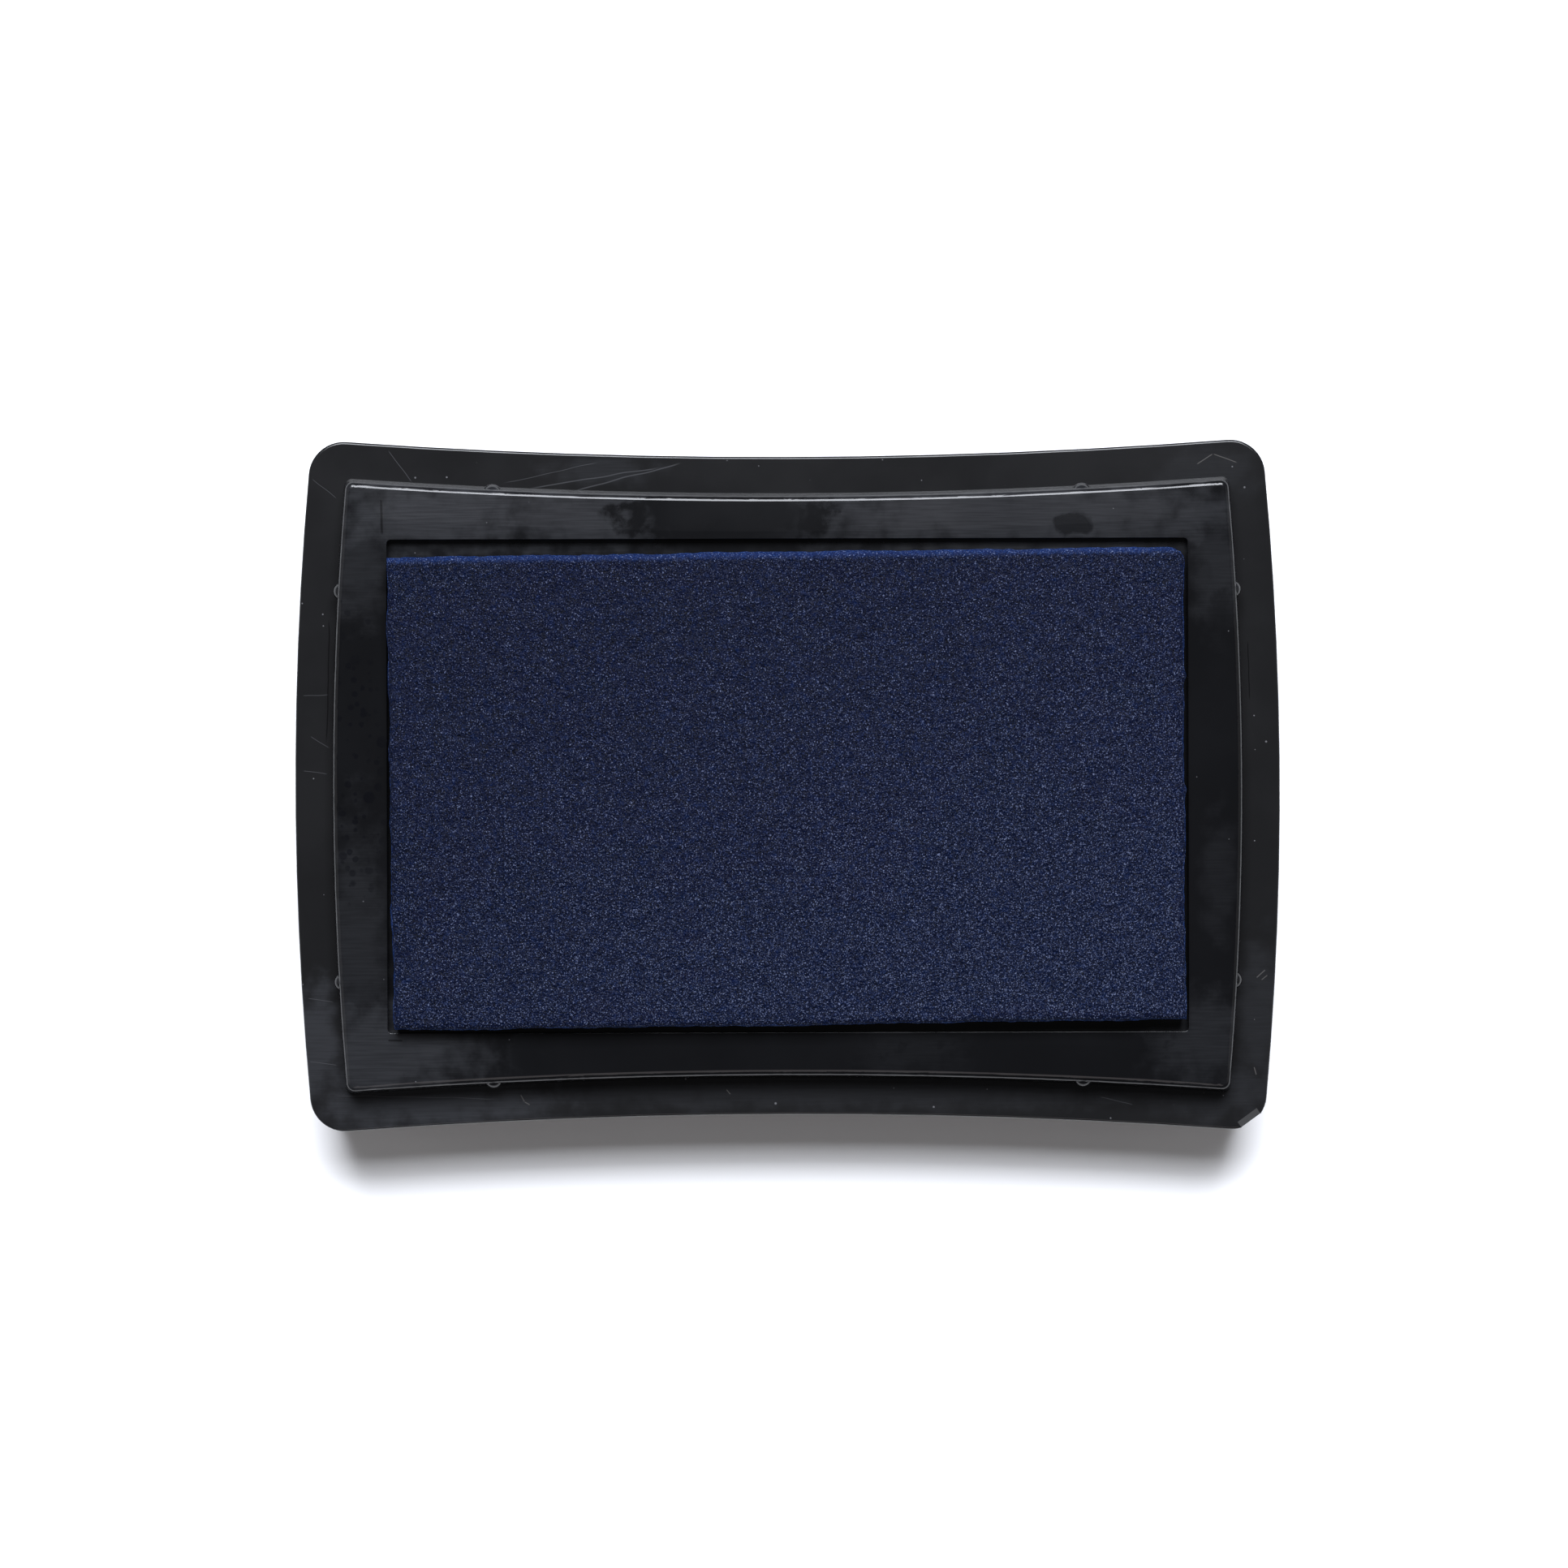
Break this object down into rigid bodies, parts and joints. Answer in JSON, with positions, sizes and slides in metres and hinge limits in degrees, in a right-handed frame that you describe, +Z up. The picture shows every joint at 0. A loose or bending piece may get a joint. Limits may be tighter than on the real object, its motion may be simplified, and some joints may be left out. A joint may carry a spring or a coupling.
{
  "type": "ink pad",
  "caption": "Raised rectangular ink pad for rubber stamps: a blue inked foam block in a black case with waisted sides, standing in its own upturned lid.",
  "frame": {"origin": "centre of the face that the upturned lid stands on", "axes": "+X along the pad's long side, +Y across the pad towards its back edge, +Z up, out of the inked foam"},
  "size_m": [0.0952, 0.0668, 0.018],
  "materials": {
    "case_plastic": "satin, injection moulded, with scuffs, dust and dried ink",
    "ink_foam": "open-celled foam wet with dark blue ink",
    "ink_felt": "felt soaked with dark blue ink",
    "adhesive": "double-sided film",
    "label_paper": "coated, blank but for a plain colour panel",
    "sticker_paper": "coated, plain dark blue"
  },
  "bodies": {
    "lid": {"lid_shell": "case_plastic", "lid_label": "label_paper", "lid_index_sticker": "sticker_paper"},
    "pad": {"base_shell": "case_plastic", "base_label": "label_paper", "pad_tray": "case_plastic", "adhesive_film": "adhesive", "reservoir_felt": "ink_felt", "ink_foam": "ink_foam"}
  },
  "joints": [
    {"name": "pad_lift", "type": "slide", "parent": "lid", "child": "pad", "axis": [0, 0, 1], "range_m": [0, 0.025]}
  ]
}
